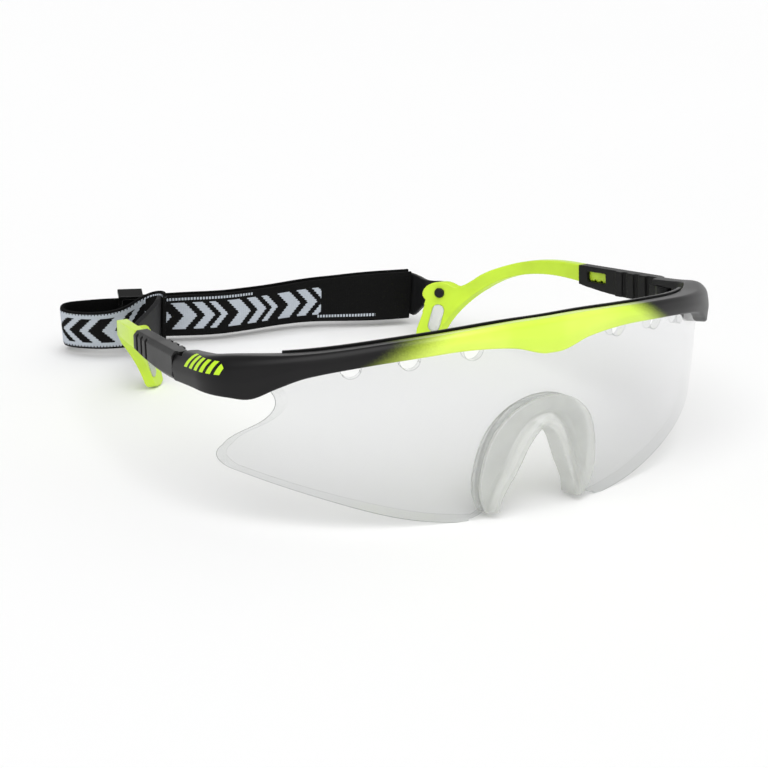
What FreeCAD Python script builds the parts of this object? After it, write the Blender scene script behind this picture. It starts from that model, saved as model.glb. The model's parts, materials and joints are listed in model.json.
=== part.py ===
import FreeCAD, Part
import math
import os

V = FreeCAD.Vector

# Sports protective goggles: one wrap-round lens under a brow frame, folding and
# telescoping temples, a saddle nose pad and an adjustable elastic head strap.
# All lengths are in mm. The parts are drawn as worn, with +X to the wearer's left,
# +Y to the back of the head and +Z up, and are then tipped to stand on a table.

# ---------------------------------------------------------------- driving dimensions
# Plan curve of the lens, a chain of arcs starting at the middle: (radius, end angle)
LENS_ARCS = [(116.5, 0.40), (70.0, 1.10)]
FRAME_ARCS = [(116.5, 0.40), (70.0, 0.88), (13.5, math.pi / 2)]
LENS_FRONT_Y = 1.69
LENS_REF_Z = -4.0
LENS_RAKE = 0.172
LENS_THICK = 2.2
LENS_TOP_Z = 1.2
VENT_R = 2.5
VENT_X = [21.8, 37.1, 50.6]
VENT_BOTTOM_Z = [-2.3, -3.3, -4.4]
GROOVE_GAP = 0.12

FRAME_FRONT = 2.6
FRAME_BACK = 4.2
ENDPIECE_X = 77.8
ENDPIECE_END_Y = 51.2
ENDPIECE_WALL = 1.5
POCKET_Y = 41.0
BAR_DEPTH = 0.7
BAR_HEIGHT = 2.4

HINGE_X = 73.3
HINGE_Y = 46.4
KNUCKLE_R = 2.7
WEB_HALF = 2.2
LUG_R = 3.6
LUG_TOP = (-1.9, -0.5)
LUG_BOTTOM = (-7.8, -6.2)
SCREW_R = 0.8
SCREW_HEAD_R = 1.5
SCREW_HEAD_H = 0.8
HEAD_SINK = 0.1
RUN_GAP = 0.05
JOINT_GAP = 0.15

SLEEVE_END_Y = 80.6
SLEEVE_OUT_FRONT = 77.6
SLEEVE_OUT_REAR = 73.6
SLEEVE_WIDE = 4.2
SLEEVE_TOP = -0.5
SLEEVE_DEPTH_FRONT = 7.2
SLEEVE_DEPTH_REAR = 5.6
RIB_Y = [55.3, 59.8, 64.2]
RIB_PROUD = 0.8
RIB_HALF = 1.3
GRIP_Y = [71.0, 74.4, 77.8]
GRIP_HALF = 0.55
GRIP_DEEP = 0.7
SLEEVE_TAPER_Y = 64.0
SLEEVE_SOFT = 1.1
WINDOW_Y = (70.0, 77.2)
WINDOW_Z = (-4.9, -2.0)

TONGUE_WIDE = 1.9
TONGUE_HIGH = 3.2
TONGUE_LONG = 15.0
TONGUE_ROOT = 1.5
ARM_THICK = 2.8
TIP_THICK = 2.0
ARM_LENGTH = 55.0
ARM_START_ANGLE = 4.0
ARM_END_ANGLE = 52.0
BOSS_HOLE_R = 1.1
INSERT_HALF = (1.8, 4.2)
INSERT_TILT = 8.0
INSERT_GAP = 0.03
INSERT_PROUD = 0.1
PEG_R = 1.04

TAB_THICK = 1.2
TAB_CLEAR = 0.56
PEG_SLACK = 0.32
TAB_NARROW = 5.4
STRAP_WIDE = 15.0
STRAP_THICK = 1.1
STRAP_LIFT = 2.4

# Generous limits for shapes that cut one side of the goggles
SIDE_X = (60.0, 95.0)
SIDE_Z = (-15.0, 10.0)

SEAT_SLOPE = 0.1444
LOBE_Y = 10.8
LOBE_Z = -44.2
ORIGIN_Y = 81.09

SIDES = {"left": 1, "right": -1}
SEAT_ANGLE = math.atan(SEAT_SLOPE)


# ---------------------------------------------------------------- shared helpers
def plan_point(arcs, angle, offset=0.0):
    """Point of the plan curve whose tangent has turned by angle, moved outwards."""
    x, y, start = 0.0, LENS_FRONT_Y, 0.0
    for radius, end in arcs:
        stop = min(abs(angle), end)
        if stop > start:
            x += radius * (math.sin(stop) - math.sin(start))
            y += radius * (math.cos(start) - math.cos(stop))
        start = end
    x += offset * math.sin(abs(angle))
    y -= offset * math.cos(angle)
    return math.copysign(x, angle), y


def plan_edges(arcs, limit, offset):
    """Arc edges of the plan curve from -limit to +limit at one offset."""
    knots = [0.0] + [end for _, end in arcs if end < limit - 1e-6] + [limit]
    spans = list(zip(knots[:-1], knots[1:]))
    spans = [(-b, -a) for a, b in reversed(spans)] + spans
    edges = []
    for a, b in spans:
        pts = [V(*plan_point(arcs, t, offset), 0) for t in (a, (a + b) / 2, b)]
        if a == 0.0:
            pts[0] = V(0, LENS_FRONT_Y - offset, 0)
        if b == 0.0:
            pts[2] = V(0, LENS_FRONT_Y - offset, 0)
        edges.append(Part.Arc(*pts).toShape())
    return edges


def plan_band(arcs, limit, outer, inner):
    """Flat curved strip in plan between two offsets."""
    front = Part.Wire(plan_edges(arcs, limit, outer))
    back = Part.Wire(plan_edges(arcs, limit, inner))
    ends = [
        Part.LineSegment(
            V(*plan_point(arcs, t, outer), 0), V(*plan_point(arcs, t, inner), 0)
        ).toShape()
        for t in (-limit, limit)
    ]
    edges = front.Edges + back.Edges + ends
    return Part.Face(Part.Wire(Part.__sortEdges__(edges)))


def raked(face, low, high):
    """Prism of a plan face that leans back by the lens rake, from low to high."""
    base = face.translated(V(0, (LENS_REF_Z - low) * LENS_RAKE, low))
    return base.extrude(V(0, -(high - low) * LENS_RAKE, high - low))


def curve(points):
    """Smooth edge through a few points."""
    line = Part.BSplineCurve()
    line.interpolate(points)
    return line.toShape()


def segment(a, b):
    return Part.LineSegment(a, b).toShape()


def closed_face(edges):
    return Part.Face(Part.Wire(Part.__sortEdges__(edges)))


def box(x0, x1, y0, y1, z0, z1):
    low = V(min(x0, x1), min(y0, y1), min(z0, z1))
    return Part.makeBox(abs(x1 - x0), abs(y1 - y0), abs(z1 - z0), low)


def prism_yz(outline, x0, x1):
    """Prism along X of a (y, z) outline of straight sides."""
    pts = [V(x0, y, z) for y, z in outline]
    return Part.Face(Part.makePolygon(pts + pts[:1])).extrude(V(x1 - x0, 0, 0))


def mirror(shape):
    return shape.mirror(V(0, 0, 0), V(1, 0, 0))


def profile(knots, x):
    """Smooth reading of a short (position, value) profile that starts level."""
    slopes = [0.0]
    for (x0, v0), (_, _), (x2, v2) in zip(knots[:-2], knots[1:-1], knots[2:]):
        slopes.append((v2 - v0) / (x2 - x0))
    slopes.append(0.0)
    x = min(max(x, knots[0][0]), knots[-1][0])
    for i, ((x0, v0), (x1, v1)) in enumerate(zip(knots[:-1], knots[1:])):
        if x <= x1:
            break
    span = x1 - x0
    u = (x - x0) / span
    rise = u * u * (3 - 2 * u)
    ease_in = u * (1 - u) ** 2 * span * slopes[i]
    ease_out = u * u * (u - 1) * span * slopes[i + 1]
    return v0 + (v1 - v0) * rise + ease_in + ease_out


def railed_solid(sections):
    """Solid through planar sections, with one smooth rail along each corner."""
    steps = [0.0]
    for before, after in zip(sections, sections[1:]):
        steps.append(steps[-1] + (after[0] - before[0]).Length)
    rails = []
    for corner in zip(*sections):
        rail = Part.BSplineCurve()
        rail.interpolate(Points=list(corner), Parameters=steps)
        rails.append(rail)
    faces = [between_rails(a, b) for a, b in zip(rails, rails[1:] + rails[:1])]
    for section in (sections[0], sections[-1]):
        faces.append(Part.Face(Part.makePolygon(section + section[:1])))
    shell = Part.makeShell(faces)
    shell.sewShape()
    solid = Part.makeSolid(Part.Shell(shell.Faces))
    if solid.Volume < 0:
        solid.reverse()
    return solid


def between_rails(a, b):
    """Straight-ruled face between two rails that share their parameters."""
    surface = Part.BSplineSurface()
    surface.buildFromPolesMultsKnots(
        [a.getPoles(), b.getPoles()], [2, 2], a.getMultiplicities(), [0.0, 1.0],
        a.getKnots(), False, False, 1, a.Degree,
    )
    return surface.toShape()


def seated(shape):
    """Tips a part from the worn position onto its lens and temple tips."""
    shape = shape.copy()
    shape.rotate(V(0, 0, 0), V(1, 0, 0), -math.degrees(SEAT_ANGLE))
    shape.translate(V(0, -ORIGIN_Y, -floor_level()))
    return shape


def floor_level():
    return -LOBE_Y * math.sin(SEAT_ANGLE) + LOBE_Z * math.cos(SEAT_ANGLE)


def save(name, shape):
    shape = seated(shape)
    if shape.ShapeType == "Compound" and len(shape.Solids) == 1:
        shape = shape.Solids[0]
    room = shape.optimalBoundingBox()
    print(
        f"{name:20s} valid {shape.isValid()} solids {len(shape.Solids)}"
        f" volume {shape.Volume:.1f}"
        f" x {room.XMin:.2f} {room.XMax:.2f} y {room.YMin:.2f} {room.YMax:.2f}"
        f" z {room.ZMin:.2f} {room.ZMax:.2f}"
    )
    shape.exportStep(f"parts/{name}.step")


# ---------------------------------------------------------------- lens
LENS_LIMIT = 1.0
# Rear corner of the lens seen from the side, (y, z), from the frame down to the lobe
LENS_REAR = [(24.6, -7.0), (24.2, -10.5), (26.4, -14.1), (30.6, -17.1), (35.2, -21.0)]
LENS_TIP = [(35.2, -21.0), (36.9, -23.8), (34.8, -26.8)]
LENS_EDGE = [(34.8, -26.8), (26.2, -31.2), (18.0, -37.2), (13.6, -41.8), (10.8, -44.2)]
# Nose cut-out seen from the front, (x, z), from the lobe up to the middle
LENS_NOSE = [(19.5, -43.6), (15.6, -42.0), (13.0, -37.0), (10.8, -31.0), (7.6, -23.4)]
LENS_NOSE_TOP_Z = -18.8


def lens_side_prism():
    def point(y, z):
        return V(-95, y, z)

    edges = [
        curve([point(*p) for p in LENS_REAR]),
        curve([point(*p) for p in LENS_TIP]),
        curve([point(*p) for p in LENS_EDGE]),
        segment(point(*LENS_EDGE[-1]), point(-10, LOBE_Z)),
        segment(point(-10, LOBE_Z), point(-10, LENS_TOP_Z)),
        segment(point(-10, LENS_TOP_Z), point(18, LENS_TOP_Z)),
        segment(point(18, LENS_TOP_Z), point(24.6, -1.0)),
        segment(point(24.6, -1.0), point(*LENS_REAR[0])),
    ]
    return closed_face(edges).extrude(V(190, 0, 0))


def arch_prism(side_points, top_z, low_z, y0, y1):
    """Prism along Y of a symmetric arch, open downwards, given its right half."""
    half = [V(x, y0, z) for x, z in side_points]
    other = [V(-p.x, p.y, p.z) for p in reversed(half)]
    arch = curve(half + [V(0, y0, top_z)] + other)
    foot = [half[0], V(half[0].x, y0, low_z), V(other[-1].x, y0, low_z), other[-1]]
    edges = [arch] + [segment(a, b) for a, b in zip(foot[:-1], foot[1:])]
    return closed_face(edges).extrude(V(0, y1 - y0, 0))


def vent_cutters(gap=0.0):
    cutters = []
    for x, bottom in zip(VENT_X, VENT_BOTTOM_Z):
        angle = math.asin(x / LENS_ARCS[0][0])
        direction = V(math.sin(angle), -math.cos(angle), 0)
        cx, cy = plan_point(LENS_ARCS, angle)
        centre = V(x, cy, bottom + VENT_R)
        drill = Part.makeCylinder(
            VENT_R - gap, 20, centre - direction * 10, direction
        )
        cutters += [drill, mirror(drill)]
    return cutters


def lens():
    band = raked(plan_band(LENS_ARCS, LENS_LIMIT, 0.0, -LENS_THICK), -50, 4)
    body = band.common(lens_side_prism())
    body = body.cut(arch_prism(LENS_NOSE, LENS_NOSE_TOP_Z, -60, -20, 40))
    return body.cut(vent_cutters())


# ---------------------------------------------------------------- nose pad
PAD_OUTER = [(15.2, -42.6), (17.4, -37.0), (17.2, -30.0), (14.4, -21.6), (8.6, -16.2)]
PAD_OUTER_TOP_Z = -14.0
PAD_INNER = [(11.8, -43.5), (10.4, -38.0), (7.6, -33.0), (4.6, -26.6)]
PAD_INNER_TOP_Z = -22.2
PAD_FOOT_Z = -42.8
PAD_FLANGE = 1.3
PAD_FRONT = 1.2
PAD_BACK = 5.0


def nose_pad(clear_lens):
    band = raked(
        plan_band(LENS_ARCS, 0.30, PAD_FRONT, -PAD_BACK), PAD_FOOT_Z, -10
    )
    shape = band.common(arch_prism(PAD_OUTER, PAD_OUTER_TOP_Z, -60, -20, 40))
    shape = shape.cut(arch_prism(PAD_INNER, PAD_INNER_TOP_Z, -60, -20, 40))
    # the rear flange narrows towards the nose so that it bears as a soft wedge
    trim = raked(plan_band(LENS_ARCS, 0.34, -LENS_THICK - PAD_FLANGE, -20), -60, 0)
    rear = [(x - 2.2, z) for x, z in PAD_OUTER]
    trim = trim.cut(arch_prism(rear, PAD_OUTER_TOP_Z - 2.4, -60, -30, 60))
    return shape.cut(trim).cut(clear_lens)


# ---------------------------------------------------------------- brow frame
FRAME_TOP = [(0, 5.7), (14, 5.6), (39, 4.0), (64, 1.9), (82, 1.2), (93, 0.1), (103, -0.4)]
FRAME_LOW = [
    (0, -3.0), (10, -0.6), (22, 0.3), (36, -0.4), (50, -1.7), (62, -3.7), (69, -6.2),
    (75.5, -8.8), (82, -8.5), (92, -7.9), (103, -7.8),
]
FRAME_RUN = 101.3
FRAME_SECTIONS = 49
CREASE = 0.42
# Depth of the rounded shoulder between the front and the top
SHOULDER = [(0, 1.0), (62, 1.0), (84, 2.2), (103, 1.8)]


def frame_station(run):
    """Plan place and turn of the frame's guide curve at a signed length along it."""
    length, start, x, y = abs(run), 0.0, 0.0, LENS_FRONT_Y
    angle = 0.0
    for radius, end in FRAME_ARCS:
        turn = min(length / radius, end - start)
        x += radius * (math.sin(start + turn) - math.sin(start))
        y += radius * (math.cos(start) - math.cos(start + turn))
        length -= radius * turn
        angle = start + turn
        start = end
    y += length
    return math.copysign(x, run), y, math.copysign(angle, run)


def frame_section(run):
    """Closed section of the brow frame across its guide curve."""
    x, y, angle = frame_station(run)
    top = profile(FRAME_TOP, abs(run))
    low = profile(FRAME_LOW, abs(run))
    crease = low + CREASE * (top - low)
    shoulder = profile(SHOULDER, abs(run))
    corners = [
        (-FRAME_BACK, low + 0.3),
        (FRAME_FRONT - 1.0, low),
        (FRAME_FRONT - 0.5, low + 0.3),
        (FRAME_FRONT, crease),
        (FRAME_FRONT - 0.5, top - shoulder),
        (FRAME_FRONT - 0.5 - shoulder, top),
        (-FRAME_BACK, top - 0.2),
    ]
    out = V(math.sin(angle), -math.cos(angle), 0)
    return [V(x, y, 0) + out * n + V(0, 0, z) for n, z in corners]


def along_frame(section, end, count):
    """Solid of one section carried along the frame's guide curve, end to end."""
    runs = [end * (2 * i / (count - 1) - 1) for i in range(count)]
    return railed_solid([section(run) for run in runs])


def lens_space(gap):
    """Room that the lens needs, grown by a gap on every side."""
    band = raked(
        plan_band(LENS_ARCS, LENS_LIMIT + 0.02, gap, -LENS_THICK - gap), -50, 6
    )
    outline = [
        (-10, -60), (60, -60), (60, -15), (24.6 + gap, -12), (24.6 + gap, -1.0 + gap),
        (18 + gap, LENS_TOP_Z + gap), (-10, LENS_TOP_Z + gap),
    ]
    return band.common(prism_yz(outline, -95, 95))


def hinge_pin_space(radius, low, high):
    return Part.makeCylinder(radius, high - low, V(HINGE_X, HINGE_Y, low))


def hinge_pocket():
    """Inside of one endpiece, open towards the head and to the rear."""
    wall = ENDPIECE_X - ENDPIECE_WALL
    near, far = SIDE_X
    low, high = SIDE_Z
    pocket = box(near, wall, POCKET_Y, ENDPIECE_END_Y + 1, LUG_BOTTOM[1], LUG_TOP[0])
    lugs = box(HINGE_X - LUG_R, far, POCKET_Y - 1, HINGE_Y, low, high)
    lugs = lugs.fuse(hinge_pin_space(LUG_R, low, high))
    beyond = box(near, wall, POCKET_Y, ENDPIECE_END_Y + 1, low, high).cut(lugs)
    screw = hinge_pin_space(SCREW_R, low, high)
    head_top = LUG_BOTTOM[0] + SCREW_HEAD_H - HEAD_SINK
    head = hinge_pin_space(SCREW_HEAD_R + RUN_GAP, low, head_top)
    return [pocket, beyond, screw, head]


def endpiece_level():
    """Levels the endpiece at its rear so that lugs and hinge pin stand square."""
    near, far = SIDE_X
    low, high = SIDE_Z
    return [
        box(near, far, POCKET_Y, ENDPIECE_END_Y + 1, LUG_TOP[1], high),
        box(near, far, POCKET_Y, ENDPIECE_END_Y + 1, LUG_BOTTOM[0], low),
    ]


def front_frame():
    body = along_frame(frame_section, FRAME_RUN, FRAME_SECTIONS)
    cutters = [lens_space(GROOVE_GAP)]
    for cutter in hinge_pocket() + endpiece_level():
        cutters += [cutter, mirror(cutter)]
    for cutter in cutters:
        body = body.cut(cutter)
    return body


# ---------------------------------------------------------------- inner brow bar
BAR_END_ANGLE = 0.717
BAR_PROUD = -0.05
BAR_STATIONS = [0, 11, 22, 33, 44, 55, 66, 72]


def bar_line(drop):
    """Line along the top of the bar, or parallel below it, seen from the front."""
    half = []
    for run in BAR_STATIONS:
        level = profile(FRAME_TOP, run) + BAR_PROUD - drop
        half.append(V(frame_station(run)[0], -20, level))
    return curve([V(-p.x, p.y, p.z) for p in reversed(half[1:])] + half)


def brow_bar():
    outer = -FRAME_BACK - RUN_GAP
    band = plan_band(FRAME_ARCS, BAR_END_ANGLE, outer, outer - BAR_DEPTH)
    band = band.translated(V(0, 0, -5)).extrude(V(0, 0, 20))
    top, low = bar_line(0.0), bar_line(BAR_HEIGHT)
    ends = [segment(top.Vertexes[k].Point, low.Vertexes[k].Point) for k in (0, -1)]
    return band.common(closed_face([top, low] + ends).extrude(V(0, 80, 0)))


# ---------------------------------------------------------------- hinge and sleeve
DRIVER_SLOT = (0.5, 0.3)


def hinge_screw():
    """Pin with a slotted head, let into the lower lug."""
    shank_low = LUG_BOTTOM[0] + SCREW_HEAD_H - HEAD_SINK
    shank = hinge_pin_space(SCREW_R - RUN_GAP, shank_low, LUG_TOP[1])
    head = hinge_pin_space(SCREW_HEAD_R, LUG_BOTTOM[0], shank_low)
    wide, deep = DRIVER_SLOT
    slot = box(
        HINGE_X - 2, HINGE_X + 2, HINGE_Y - wide / 2, HINGE_Y + wide / 2,
        LUG_BOTTOM[0] - 1, LUG_BOTTOM[0] + deep,
    )
    return shank.fuse(head).removeSplitter().cut(slot)


def sleeve_wall(y, inset=0.0):
    """Outer face of the sleeve in plan, which leans inwards towards the rear."""
    start = ENDPIECE_END_Y + JOINT_GAP
    part = (y - start) / (SLEEVE_END_Y - start)
    return SLEEVE_OUT_FRONT + (SLEEVE_OUT_REAR - SLEEVE_OUT_FRONT) * part - inset


def sleeve_plan(y0, y1, out_inset, in_inset, z0, z1):
    """Block that follows the sleeve's lean between two inset faces."""
    pts = [
        V(sleeve_wall(y0, out_inset), y0, z0),
        V(sleeve_wall(y1, out_inset), y1, z0),
        V(sleeve_wall(y1, in_inset), y1, z0),
        V(sleeve_wall(y0, in_inset), y0, z0),
    ]
    return Part.Face(Part.makePolygon(pts + pts[:1])).extrude(V(0, 0, z1 - z0))


def sleeve():
    """Hollow rear half of the temple: hinge knuckle, ribs, grip lines and window."""
    start = ENDPIECE_END_Y + JOINT_GAP
    neck = HINGE_Y + LUG_R + JOINT_GAP
    low = SLEEVE_TOP - SLEEVE_DEPTH_FRONT
    rear_low = SLEEVE_TOP - SLEEVE_DEPTH_REAR

    def section(y, bottom):
        corners = [
            (0, bottom + SLEEVE_SOFT), (0, SLEEVE_TOP - SLEEVE_SOFT),
            (SLEEVE_SOFT, SLEEVE_TOP), (SLEEVE_WIDE, SLEEVE_TOP),
            (SLEEVE_WIDE, bottom), (SLEEVE_SOFT, bottom),
        ]
        return [V(sleeve_wall(y, inset), y, z) for inset, z in corners]

    body = railed_solid([
        section(neck, low), section(SLEEVE_TAPER_Y, low - 0.1),
        section(SLEEVE_END_Y, rear_low),
    ])
    wall = ENDPIECE_X - ENDPIECE_WALL - JOINT_GAP
    body = body.cut(box(wall, SIDE_X[1], neck - 1, start, *SIDE_Z))
    for y in RIB_Y:
        body = body.fuse(sleeve_plan(
            y - RIB_HALF, y + RIB_HALF, SLEEVE_WIDE - 0.5, SLEEVE_WIDE + RIB_PROUD,
            low, SLEEVE_TOP))
    knuckle_low, knuckle_top = LUG_BOTTOM[1] + JOINT_GAP, LUG_TOP[0] - JOINT_GAP
    knuckle = hinge_pin_space(KNUCKLE_R, knuckle_low, knuckle_top)
    web = box(HINGE_X - WEB_HALF, HINGE_X + WEB_HALF, HINGE_Y, neck + 0.5,
              knuckle_low, knuckle_top)
    body = body.fuse([knuckle, web]).removeSplitter()
    for y in GRIP_Y:
        body = body.cut(
            sleeve_plan(y - GRIP_HALF, y + GRIP_HALF, -1, GRIP_DEEP, *SIDE_Z))
    body = body.cut(hinge_pin_space(SCREW_R, *SIDE_Z))
    body = body.cut(arm_channel(gap=RUN_GAP))
    window = sleeve_plan(*WINDOW_Y, SLEEVE_WIDE / 2, SLEEVE_WIDE + 2, *WINDOW_Z)
    return body.cut(window)


def arm_channel(gap):
    """Slot along the sleeve that the toothed tongue of the arm slides in."""
    mid = SLEEVE_TOP - SLEEVE_DEPTH_REAR / 2
    inset = (SLEEVE_WIDE - TONGUE_WIDE) / 2
    return sleeve_plan(
        SLEEVE_END_Y - TONGUE_LONG - 0.5, SLEEVE_END_Y + 20, inset - gap,
        SLEEVE_WIDE - inset + gap, mid - TONGUE_HIGH / 2 - gap,
        mid + TONGUE_HIGH / 2 + gap)


# ---------------------------------------------------------------- temple arm
def arm_point(part, offset=0.0):
    """Plan point of the arm's centre line, which curls in towards the head."""
    steps = 60
    x = (SLEEVE_OUT_REAR * 2 - SLEEVE_WIDE) / 2
    y = SLEEVE_END_Y + JOINT_GAP
    angle = math.radians(ARM_START_ANGLE)
    for i in range(round(steps * part)):
        share = (i + 0.5) / steps
        angle = math.radians(
            ARM_START_ANGLE + (ARM_END_ANGLE - ARM_START_ANGLE) * share)
        x -= math.sin(angle) * ARM_LENGTH / steps
        y += math.cos(angle) * ARM_LENGTH / steps
    return V(x + offset * math.cos(angle), y + offset * math.sin(angle), 0)


def arm_half(part):
    """Half the thickness of the arm, which thins towards its tip."""
    return profile([(0, ARM_THICK / 2), (0.5, ARM_THICK / 2), (1, TIP_THICK / 2)], part)


def arm_band(proud=0.0, start=0.0):
    """Plan of the arm, or of its rear part, raised well above and below it."""
    parts = [start + (1 - start) * i / 10 for i in range(11)]
    front = [arm_point(p, arm_half(p) + proud) for p in parts]
    back = [arm_point(p, -arm_half(p) - proud) for p in parts]
    edges = [curve(front), curve(back), segment(front[0], back[0]),
             segment(front[-1], back[-1])]
    low, high = ARM_Z
    return closed_face(edges).translated(V(0, 0, low)).extrude(V(0, 0, high - low))


ARM_Z = (-40.0, 10.0)
BOSS = (123.9, -12.5)
TIP = (125.0, -24.9)
# Below this height the tip leans in towards the head
LEAN_FROM_Z = -11.0
TIP_LEAN = 0.2
TIP_R = 2.5
ARM_TOP = [(80.75, -0.6), (96, -1.0), (103, -2.2), (109, -4.2), (114, -6.7), (118, -9.8)]
ARM_LOW = [(80.75, -5.6), (96, -5.1), (103, -6.1), (109, -8.2), (114, -11.4), (119.2, -17.1)]


def arm_outline():
    """Side view of the arm: an arch that widens into a drooping tip with a boss."""
    def point(y, z):
        return V(0, y, z)

    dip = (120.4, -10.9)
    boss_front = (BOSS[0] - 2.3, BOSS[1] + 2.2)
    boss_rear = (BOSS[0] + 2.5, BOSS[1] - 2.0)
    tip_rear = (TIP[0] + TIP_R - 0.1, TIP[1] + 0.6)
    tip_front = (TIP[0] - TIP_R + 0.3, TIP[1] - 0.6)
    edges = [
        curve([point(*p) for p in ARM_TOP + [dip]]),
        segment(point(*dip), point(*boss_front)),
        Part.Arc(point(*boss_front), point(BOSS[0] + 1.6, BOSS[1] + 2.8),
                 point(*boss_rear)).toShape(),
        curve([point(*boss_rear), point(126.6, -18.5), point(*tip_rear)]),
        Part.Arc(point(*tip_rear), point(TIP[0] + 0.2, TIP[1] - TIP_R),
                 point(*tip_front)).toShape(),
        curve([point(*p) for p in ARM_LOW] + [point(*tip_front)]),
        segment(point(*ARM_LOW[0]), point(*ARM_TOP[0])),
    ]
    return closed_face(edges)


def tip_normal():
    share = tip_part(BOSS[0])
    angle = math.radians(ARM_START_ANGLE + (ARM_END_ANGLE - ARM_START_ANGLE) * share)
    return V(math.cos(angle), math.sin(angle), 0)


def leaned(shape):
    """Shape with everything below LEAN_FROM_Z sheared in towards the head."""
    low, high = ARM_Z
    upper = shape.common(box(-5, SIDE_X[1], 0, 160, LEAN_FROM_Z, high))
    lower = shape.common(box(-5, SIDE_X[1], 0, 160, low, LEAN_FROM_Z))
    shear = FreeCAD.Matrix()
    shear.A13, shear.A14 = TIP_LEAN, -TIP_LEAN * LEAN_FROM_Z
    lower = lower.transformGeometry(shear)
    return upper.fuse(lower).removeSplitter()


def inset(z):
    """How far the leaning tip has moved in towards the head at a height."""
    return TIP_LEAN * max(0.0, LEAN_FROM_Z - z)


def boss_bore(radius):
    out = tip_normal()
    return Part.makeCylinder(radius, 12, boss_centre() - out * 6, out)


def insert_bore(radius, long_half):
    """Oval hole square through the flat of the tip, long along its lean."""
    out = tip_normal()
    y, z = INSERT_AT
    centre = arm_point(tip_part(y)) + V(-inset(z), 0, z)
    along = V(-out.y, out.x, 0)
    tilt = math.radians(INSERT_TILT)
    axis = V(TIP_LEAN, 0, 1) * math.cos(tilt) - along * math.sin(tilt)
    axis.normalize()
    across = axis.cross(out).normalize()
    slide = axis * (long_half - radius)
    low = Part.makeCylinder(radius, 12, centre - out * 6 - slide, out)
    high = Part.makeCylinder(radius, 12, centre - out * 6 + slide, out)
    base = centre - out * 6 - slide
    pts = [base + across * radius, base - across * radius,
           base - across * radius + slide * 2, base + across * radius + slide * 2]
    slab = Part.Face(Part.makePolygon(pts + pts[:1])).extrude(out * 12)
    return low.fuse([high, slab]).removeSplitter()


def tip_part(y):
    """Share of the arm's length at which it reaches a given y."""
    low, high = 0.0, 1.0
    for _ in range(24):
        mid = (low + high) / 2
        if arm_point(mid).y < y:
            low = mid
        else:
            high = mid
    return (low + high) / 2


INSERT_AT = (123.9, -20.2)
TEETH_Y = [68.0, 70.4, 72.8, 75.2, 77.6]
TOOTH_HALF = 0.4
TOOTH_TOP_Z = -4.4


def temple_arm():
    body = arm_band().common(
        arm_outline().translated(V(30, 0, 0)).extrude(V(60, 0, 0)))
    tongue = arm_channel(gap=0.0).common(
        box(*SIDE_X, SLEEVE_END_Y - TONGUE_LONG, SLEEVE_END_Y + TONGUE_ROOT, *SIDE_Z))
    teeth = [
        box(*SIDE_X, y - TOOTH_HALF, y + TOOTH_HALF, SIDE_Z[0], TOOTH_TOP_Z)
        for y in TEETH_Y
    ]
    body = body.fuse(tongue.cut(teeth)).removeSplitter()
    return leaned(body).cut([insert_bore(*INSERT_HALF), boss_bore(BOSS_HOLE_R)])


def tip_insert():
    short_half, long_half = INSERT_HALF
    plug = insert_bore(short_half - INSERT_GAP, long_half - INSERT_GAP)
    return plug.common(leaned(arm_band(INSERT_PROUD, start=0.3)))


# ---------------------------------------------------------------- strap
# Plan of the elastic on the table, (x, y): from the right tab round the loose bend,
# straight through the slider and along to the left tab
STRAP_NEAR = [(-35.4, 136.2), (-34.6, 141.0), (-37.6, 145.4), (-44.8, 148.2), (-53.5, 152.9)]
STRAP_BEND = [(-56.4, 157.9), (-54.0, 161.1)]
SLIDER_LINE = [(-49.3, 160.4), (-41.3, 157.83), (-33.3, 155.27), (-25.3, 152.7), (-12.0, 148.4)]
STRAP_FAR = [(2.5, 147.6), (18.9, 146.4), (32.8, 141.0), (42.7, 137.8), (49.6, 136.4)]
TAB_END = {"left": (50.3, 138.3), "right": (-36.2, 138.0)}
LAYER_GAP = TAB_THICK + 0.2
# Reading of the length along the elastic at its right-hand end
STRAP_START = -4.5
# How far the elastic is raised towards the right tab, and how far its top edge leans
# over, at lengths along it
STRAP_RISE = [(-4.5, 4.0), (0, 3.4), (12, 0.0), (141, 0.0)]
STRAP_LEAN = [
    (0, 0.0), (3, 0.1), (6, 1.6), (10, 4.8), (16, 6.6), (30, 6.8), (44, 5.6), (58, 5.4),
    (72, 4.7), (86, 5.0), (100, 5.2), (115, 3.3), (126, 0.8), (132, 0.0), (141, 0.0),
]
LEAN_TOWARD = V(-0.555, -0.832, 0)
SLIDER_LONG = 7.2
SLIDER_BAR = 1.3
SLIDER_BACK = 0.8
SLIDER_RAIL = 1.3
SLIDER_FOOT = 0.9
SLIDER_DROP = 0.7
SLIDER_GAP = 0.3
RETURN_GAP = 2.4


def offset_points(points, distance):
    """Moves each plan point sideways by a distance, square to the path."""
    moved = []
    for i, point in enumerate(points):
        before = points[max(i - 1, 0)]
        after = points[min(i + 1, len(points) - 1)]
        run = after - before
        run.normalize()
        moved.append(point + V(-run.y, run.x, 0) * distance)
    return moved


def wall(spine, side0, side1, z0, z1):
    """Upright band between two sideways offsets of a smooth plan path."""
    edges = [curve(offset_points(spine, side0)), curve(offset_points(spine, side1))]
    for k in (0, -1):
        ends = [offset_points(spine, side)[k] for side in (side0, side1)]
        edges.append(segment(*ends))
    return closed_face(edges).translated(V(0, 0, z0)).extrude(V(0, 0, z1 - z0))


def spine(points, count=40):
    """Evenly read points of the smooth plan curve through a few places."""
    line = Part.BSplineCurve()
    line.interpolate([V(x, y, 0) for x, y in points])
    return line.discretize(count)


def from_table(shape):
    """Turns a shape drawn on the table plane into the worn position."""
    shape = shape.translated(V(0, 0, floor_level()))
    shape.rotate(V(0, 0, 0), V(1, 0, 0), math.degrees(SEAT_ANGLE))
    return shape


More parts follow.
